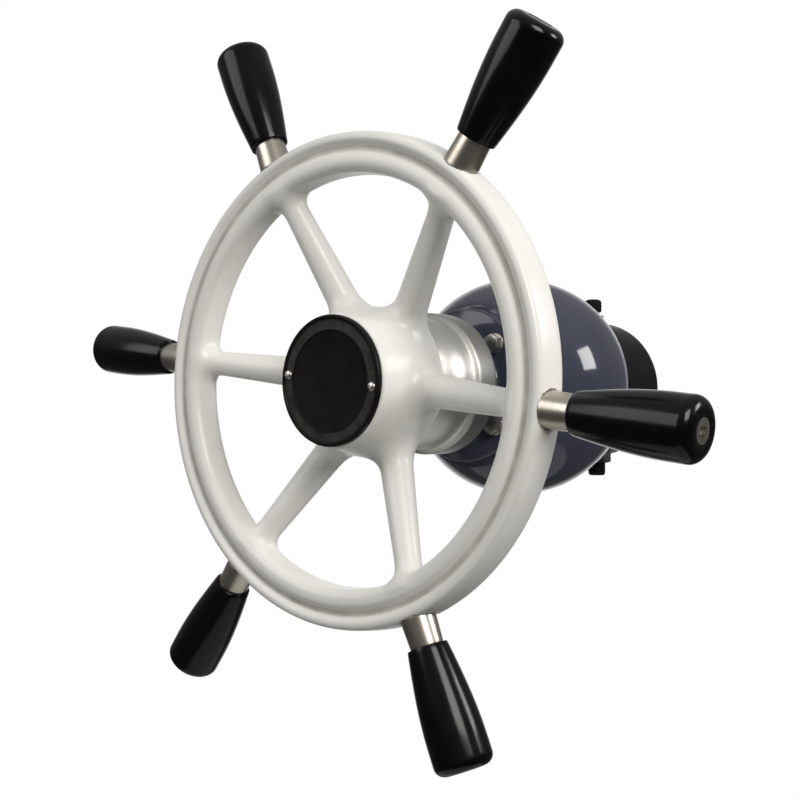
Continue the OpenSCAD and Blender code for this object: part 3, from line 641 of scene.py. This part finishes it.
SKIN_STEP = 1.6
SKIN_MARGIN = 4.0
wheel_reach = RIM_R + SKIN_MARGIN
wheel_points, wheel_faces = skin_of(
    wheel_distance, (-wheel_reach, RIM_FRONT - SKIN_MARGIN, -wheel_reach),
    (wheel_reach, HUB_REAR + SKIN_MARGIN, wheel_reach), SKIN_STEP,
)
wheel_shape = (wheel_points.tolist(), wheel_faces.tolist())
piece("wheel_casting_skin", wheel_shape, "white_paint", "wheel", "wheel_casting", sharp=50.0)


# Handles

def grip_profile():
    """Profile of a grip from the ferrule outwards, with its bore and the sunk seat of its bolt."""
    end_trim = 0.1
    tip = GRIP_LEN - end_trim
    sunk = GRIP_LEN - BOLT_SINK
    side_steps, end_steps = 44, 12

    # Eased edges, as steps along both sides of the corner
    root_edge = ((0.6, 0.0), (0.15, 0.2))
    seat_edge = ((0.7, 0.0), (0.2, 0.15), (0.0, 0.5))
    outline = [(BOLT_BORE_R, 0.0)]
    outline += [(GRIP_ROOT_R - inward, height) for inward, height in root_edge]
    for i in range(1, side_steps + 1):
        t = GRIP_ROUND_START * i / side_steps
        swell = math.sin(math.pi / 2 * min(1.0, t / GRIP_WIDEST))
        outline.append((GRIP_ROOT_R + (GRIP_MAX_R - GRIP_ROOT_R) * swell, t * tip))
    for i in range(1, end_steps + 1):
        a = math.pi / 2 * i / end_steps
        outline.append((
            GRIP_FLAT_R + (GRIP_MAX_R - GRIP_FLAT_R) * math.cos(a),
            tip * (GRIP_ROUND_START + (1 - GRIP_ROUND_START) * math.sin(a)),
        ))
    outline += [(BOLT_SEAT_R + outward, tip - depth) for outward, depth in seat_edge]
    return outline + [(BOLT_SEAT_R, sunk), (BOLT_BORE_R, sunk)]


def ferrule_profile():
    """Profile of a ferrule: a slightly tapered sleeve with eased edges."""
    root_band, tip_band, band_taper = 2.0, 2.2, 0.1
    return rounded([
        (BOLT_BORE_R, 0.0), (FERRULE_ROOT_R, 0.0, 0.4), (FERRULE_ROOT_R - band_taper, root_band, 0.3),
        (FERRULE_TIP_R + band_taper, FERRULE_LEN - tip_band, 0.3), (FERRULE_TIP_R, FERRULE_LEN, 0.5),
        (BOLT_BORE_R, FERRULE_LEN),
    ])


grip_shape = moved(lathe(grip_profile()), Y_TO_X)
ferrule_shape = moved(lathe(ferrule_profile()), Y_TO_X)
for number in range(1, SPOKES + 1):
    turned_out = Matrix.Rotation(-math.radians(REST_ANGLE + (number - 1) * 360 / SPOKES), 4, "Y")
    piece(
        f"grip_{number}_turned", grip_shape, "black_grip", "wheel", f"grip_{number}",
        place=turned_out @ Matrix.Translation((GRIP_X * MM, RIM_MID_Y * MM, 0)),
    )
    piece(
        f"ferrule_{number}_turned", ferrule_shape, "stainless", "wheel", f"ferrule_{number}",
        place=turned_out @ Matrix.Translation((SEAT_X * MM, RIM_MID_Y * MM, 0)), material=ferrule_metal,
    )


# Name plate, left bare, and its screws

def plate_profile():
    """Plate with a raised ring and a raised rim."""
    ring_edge, rim_slope = 0.25, 0.4
    ring_in_r, ring_top = PLATE_RING_R - PLATE_RING_W, PLATE_FRONT - PLATE_RING_H
    rim_top = PLATE_FRONT - PLATE_RIM_H
    return rounded([
        (0.0, PLATE_FRONT), (ring_in_r, PLATE_FRONT, ring_edge), (ring_in_r, ring_top, ring_edge),
        (PLATE_RING_R, ring_top, ring_edge), (PLATE_RING_R, PLATE_FRONT, ring_edge),
        (PLATE_RIM_IN_R - rim_slope, PLATE_FRONT, 0.5), (PLATE_RIM_IN_R, rim_top, 0.45),
        (PLATE_R, rim_top, 0.9), (PLATE_R, HUB_FRONT, 0.2), (0.0, HUB_FRONT),
    ])


def slotted_screw():
    """Screw with a slot across its domed head, standing on height 0 along Y, its shank below."""
    slot_half, slot_depth, slot_reach = 0.42, 0.7, 0.95 * PLATE_SCREW_HEAD_R
    side = 0.35 * PLATE_SCREW_HEAD_LEN
    dome_steps = 14
    outline = [
        (0.0, -PLATE_SCREW_LEN), (PLATE_SCREW_R, -PLATE_SCREW_LEN), (PLATE_SCREW_R, 0.0),
        (PLATE_SCREW_HEAD_R, 0.0), (PLATE_SCREW_HEAD_R, side),
    ]
    for i in range(1, dome_steps + 1):
        a = math.pi / 2 * i / dome_steps
        outline.append((PLATE_SCREW_HEAD_R * math.cos(a), side + (PLATE_SCREW_HEAD_LEN - side) * math.sin(a)))

    def slotted(turn, radius, height):
        across, along = abs(radius * math.cos(turn)), abs(radius * math.sin(turn))
        if height > side and across < slot_half and along < slot_reach:
            return radius, height - slot_depth
        return radius, height

    return lathe(outline, segments=72, closed=False, shaped=slotted)


plate_shape = lathe(plate_profile(), segments=128, closed=False)
piece("name_plate_bare", plate_shape, "black_plate", "wheel", "name_plate")
slot_turn = 0.6
screw = moved(slotted_screw(), Matrix.Rotation(slot_turn, 4, "Y"))
screws = around_axis(screw, PLATE_SCREWS, PLATE_SCREW_CIRCLE, REST_ANGLE, PLATE_FRONT)
piece("plate_screws_slotted", screws, "stainless", "wheel", "plate_screws")


# Bearing cap, front housing and casing

def cap_profile():
    """Bearing cap: a rounded nose, a shoulder and a straight rear band, hollow behind."""
    steps = 16
    shoulder_len, rear_chamfer = 3.0, 3.0
    dome = []
    for i in range(steps + 1):
        left = CAP_DOME_LEN * (1 - i / steps)
        drop = CAP_DOME_ARC - math.sqrt(CAP_DOME_ARC ** 2 - left ** 2)
        dome.append((CAP_NOSE_R - drop, CAP_FRONT + CAP_DOME_LEN - left))
    front_edge = 1.0
    dome[0] = (*dome[0], front_edge)
    neck_hole_r = NECK_R + NECK_GAP
    return rounded([(CAP_SEAL_R, CAP_FRONT, 0.4)] + dome + [
        (CAP_NOSE_R, CAP_STEP_Y - shoulder_len, 1.2), (CAP_R, CAP_STEP_Y, 1.4),
        (CAP_R, CAP_REAR - rear_chamfer, 2.4), (CAP_R - rear_chamfer, CAP_REAR, 2.0),
        (neck_hole_r, CAP_REAR), (neck_hole_r, NECK_FRONT), (CAP_BORE_R, NECK_FRONT),
        (CAP_BORE_R, CAP_SEAL_FLOOR), (CAP_SEAL_R, CAP_SEAL_FLOOR),
    ])


def housing_profile():
    """Front housing: a neck under the cap, a flange, and a step into the casing's hole."""
    return rounded([
        (HOUSING_SEAT_R, NECK_FRONT), (NECK_R, NECK_FRONT, 0.6), (NECK_R, FLANGE_FRONT, 4.0),
        (FLANGE_R, FLANGE_FRONT, 2.0), (FLANGE_R, FLANGE_REAR, 0.8), (CASING_FRONT_HOLE_R, FLANGE_REAR),
        (CASING_FRONT_HOLE_R, HOUSING_REAR), (HOUSING_BORE_R, HOUSING_REAR),
        (HOUSING_BORE_R, HOUSING_SEAT_END), (HOUSING_SEAT_R, HOUSING_SEAT_END),
    ])


def casing_profile():
    """Outer and inner skin of the round casing: a ball in front that runs out to the rear block."""
    middle = CASING_FRONT + math.sqrt(CASING_R ** 2 - CASING_FRONT_R ** 2)
    drop = CASING_R - CASING_REAR_R
    rear_arc = ((CASING_REAR - middle) ** 2 + drop ** 2) / (2 * drop)
    steps = 60

    def skin(start, end, shrink):
        points = []
        for i in range(steps + 1):
            y = start + (end - start) * i / steps
            if y < middle:
                radius = math.sqrt((CASING_R - shrink) ** 2 - (y - middle) ** 2)
            else:
                radius = CASING_R - rear_arc + math.sqrt((rear_arc - shrink) ** 2 - (y - middle) ** 2)
            points.append((radius, y))
        return points

    front_edge, front_inward, front_depth = 1.6, 0.3, 0.4
    rear_edge, rear_inward, rear_depth = 1.2, 0.2, 0.3
    outer = [
        (CASING_FRONT_HOLE_R, CASING_FRONT), (CASING_FRONT_R - front_edge, CASING_FRONT),
        (CASING_FRONT_R - front_inward, CASING_FRONT + front_depth),
        *skin(CASING_FRONT + front_edge, CASING_REAR - rear_edge, 0.0),
        (CASING_REAR_R - rear_inward, CASING_REAR - rear_depth),
        (CASING_REAR_R - rear_edge, CASING_REAR), (CASING_REAR_HOLE_R, CASING_REAR),
    ]
    inner_rear, inner_front = CASING_REAR - CASING_REAR_RING, CASING_FRONT + CASING_FRONT_WALL
    inner = skin(inner_rear, inner_front, CASING_WALL)
    return [*outer, (CASING_REAR_HOLE_R, inner_rear), *inner, (CASING_FRONT_HOLE_R, inner_front)]


cap_shape = lathe(cap_profile(), segments=128)
piece("bearing_cap_turned", cap_shape, "bare_aluminium", "helm", "bearing_cap")
housing_shape = lathe(housing_profile(), segments=128)
piece("front_housing_turned", housing_shape, "casing_paint", "helm", "front_housing")
casing_shape = lathe(casing_profile(), segments=160)
piece("casing_turned", casing_shape, "casing_paint", "helm", "casing")

washer = lathe(rounded([
    (TIE_R, 0.0), (TIE_R, TIE_WASHER_T, 0.15), (TIE_WASHER_R, TIE_WASHER_T, 0.35), (TIE_WASHER_R, 0.0, 0.2),
]), segments=64)
washers = around_axis(washer, TIES, TIE_CIRCLE_R, TIE_FIRST_ANGLE, FLANGE_FRONT)
piece("tie_washers_turned", washers, "stainless", "helm", "tie_washers")

head_seat = FLANGE_FRONT - TIE_WASHER_T
shank_end = head_seat - TIE_END
tie_head = hex_head(2 * TIE_HEAD_R * math.cos(math.pi / 6), TIE_HEAD_LEN)
tie_shank = lathe([(0.0, 0.0), (TIE_R, 0.0), (TIE_R, shank_end), (0.0, shank_end)], segments=48, closed=False)
tie_bolts = around_axis(joined([tie_head, tie_shank]), TIES, TIE_CIRCLE_R, TIE_FIRST_ANGLE, head_seat)
piece("tie_bolts_hex", tie_bolts, "stainless", "helm", "tie_bolts")


# Filler plug and hose unions

def filler_profile():
    """Filler plug: thread, core of the hexagon, neck and a round cap."""
    core_gap = 0.2
    core_r, core_top = FILLER_NECK_R - core_gap, FILLER_HEX_LEN - core_gap
    foot_len = 1.6

    # The crown's corners, as a distance inward, a depth below the top and a rounding
    crown = ((0.0, 3.0, 0.5), (0.6, 1.4, 1.2), (2.6, 0.2, 1.6))
    return rounded([
        (0.0, -FILLER_THREAD_LEN), (FILLER_THREAD_R, -FILLER_THREAD_LEN, 0.8), (FILLER_THREAD_R, 0.0),
        (core_r, 0.0), (core_r, core_top), (FILLER_NECK_R, FILLER_HEX_LEN),
        (FILLER_NECK_R, FILLER_CAP_START), (FILLER_CAP_FOOT_R, FILLER_CAP_START, 0.5),
        (FILLER_CAP_R, FILLER_CAP_START + foot_len, 0.3),
        *((FILLER_CAP_R - inward, FILLER_CAP_END - depth, rounding) for inward, depth, rounding in crown),
        (0.0, FILLER_CAP_END),
    ])


def knurled(turn, radius, height):
    """The filler cap's gripped side, in place of a smooth one."""
    ribs, depth = 26, 0.45
    if radius < FILLER_CAP_FOOT_R or not FILLER_KNURL_START < height < FILLER_KNURL_END:
        return radius, height
    return radius - depth * (1 + math.cos(ribs * turn)) / 2, height


def union_profile():
    """Hose union from its thread in the block to its threaded nose, with its bore."""
    lead = 0.5
    core_r = UNION_NOSE_R - 0.5
    first_turn, pitch, turns = UNION_HEX_LEN + 0.6, 1.5, 6
    bevel_width, bevel_len = 1.6, 0.9
    cone_width, cone_len = 1.4, 2.5

    # One turn of the thread, as a depth below its crest and a place along the nose
    thread_turn = ((0.55, 0.0), (0.0, 0.55), (0.0, 0.8), (0.55, 1.35))
    outline = [
        (UNION_BORE_R, -UNION_THREAD_LEN), (UNION_THREAD_R - lead, -UNION_THREAD_LEN),
        (UNION_THREAD_R, lead - UNION_THREAD_LEN), (UNION_THREAD_R, lead), (core_r, lead),
        (core_r, UNION_HEX_LEN),
    ]
    for i in range(turns):
        outline += [(UNION_NOSE_R - depth, first_turn + i * pitch + along) for depth, along in thread_turn]
    return outline + [
        (UNION_NOSE_R - bevel_width / 2, UNION_END - bevel_len), (UNION_NOSE_R - bevel_width, UNION_END),
        (UNION_BORE_R + cone_width, UNION_END), (UNION_BORE_R, UNION_END - cone_len),
    ]


filler_body = lathe(filler_profile(), segments=208, closed=False, shaped=knurled)
filler_shape = joined([hex_head(FILLER_HEX, FILLER_HEX_LEN), filler_body])
filler_place = Matrix.Translation((0, FILLER_Y, FILLER_HEX_Z)) @ Y_TO_Z
piece("filler_plug_knurled", moved(filler_shape, filler_place), "black_paint", "helm", "filler_plug")

union_hex = hex_head(UNION_HEX, UNION_HEX_LEN, hole_r=UNION_HEX_HOLE_R)
union_shape = joined([union_hex, lathe(union_profile(), segments=80)])
for x, name in ((-UNION_X, "union_left"), (UNION_X, "union_right")):
    union_place = Matrix.Translation((x, UNION_Y, UNION_HEX_Z)) @ Y_TO_MINUS_Z
    piece(f"{name}_threaded", moved(union_shape, union_place), "black_paint", "helm", name)


# Floor, light and camera, in metres

scene = bpy.context.scene
scene.view_settings.view_transform = "Standard"
helm_middle = Vector((0.0, -0.25, 0.0))
camera_at = Vector((0.5784, -0.9848, -0.0250))
looks_at = Vector((0.0363, -0.3424, -0.0137))
view = (looks_at - camera_at).normalized()

# A room brighter above than below, and a white backdrop that mirrors show in the directions behind the helm
world = bpy.data.worlds.new("studio")
scene.world = world
world.use_nodes = True
sky = Nodes(world.node_tree)
plain_white = (1.0, 1.0, 1.0, 1.0)
low_light, high_light = 0.07, 0.45
low_direction, high_direction = -0.1, 0.9
backdrop_edge, backdrop_full = 0.8, 0.96
rays = sky.node("ShaderNodeLightPath").outputs
ray = sky.node("ShaderNodeTexCoord").outputs["Generated"]
upward = sky.node("ShaderNodeSeparateXYZ", {"Vector": ray}).outputs["Z"]
onward = sky.node("ShaderNodeVectorMath", {0: ray, 1: view}, operation="DOT_PRODUCT").outputs["Value"]
behind_helm = sky.span(onward, backdrop_edge, backdrop_full, 0.0, 1.0)
mirrored = sky.math("MULTIPLY", rays["Is Glossy Ray"], behind_helm)
seen = sky.math("MAXIMUM", rays["Is Camera Ray"], rays["Is Transmission Ray"])
backdrop = sky.node("ShaderNodeBackground", {"Color": plain_white, "Strength": 1.0})
room_light = sky.span(upward, low_direction, high_direction, low_light, high_light)
room = sky.tree.nodes["Background"]
room.inputs["Color"].default_value = plain_white
sky.tree.links.new(room_light, room.inputs["Strength"])
choice = sky.node("ShaderNodeMixShader", {
    "Fac": sky.math("MAXIMUM", seen, mirrored),
    1: room.outputs["Background"],
    2: backdrop.outputs["Background"],
})
sky.tree.links.new(choice.outputs["Shader"], sky.tree.nodes["World Output"].inputs["Surface"])

floor_r, floor_z, floor_sides = 1.2, -1.5, 96
floor_edge = [2 * math.pi * i / floor_sides for i in range(floor_sides)]
floor_mesh = bpy.data.meshes.new("floor")
floor_verts = [(floor_r * math.cos(a), floor_r * math.sin(a) + helm_middle.y, floor_z) for a in floor_edge]
floor_mesh.from_pydata(floor_verts, [], [range(floor_sides)])
floor = bpy.data.objects.new("floor", floor_mesh)
scene.collection.objects.link(floor)
pale = Graph("pale_floor", Roughness=0.9)
pale.set("Base Color", pale.mix(pale.noise(3.0), (0.77, 0.77, 0.76), (0.73, 0.73, 0.72)))
floor_mesh.materials.append(pale.material)


def area_light(name, direction, size, power, colour=(1.0, 1.0, 1.0), distance=2.0):
    """A soft square lamp that faces the middle of the helm from a direction."""
    lamp = bpy.data.lights.new(name, "AREA")
    lamp.size = size
    lamp.energy = power
    lamp.color = colour
    made = bpy.data.objects.new(name, lamp)
    away = Vector(direction).normalized()
    made.location = helm_middle + away * distance
    made.rotation_euler = away.to_track_quat("Z", "Y").to_euler()
    scene.collection.objects.link(made)


area_light("key", (0.80, -0.38, 0.46), size=0.9, power=25.5, colour=(1.0, 0.985, 0.96))
area_light("window", (0.81, 0.46, 0.36), size=0.58, power=12.0)
area_light("fill", (-0.40, -0.80, 0.45), size=1.2, power=12.0)

camera_data = bpy.data.cameras.new("camera")
camera_data.lens = 53.25
camera_data.sensor_width = 36.0
camera = bpy.data.objects.new("camera", camera_data)
camera.location = camera_at
camera.rotation_euler = view.to_track_quat("-Z", "Y").to_euler()
scene.collection.objects.link(camera)
scene.camera = camera
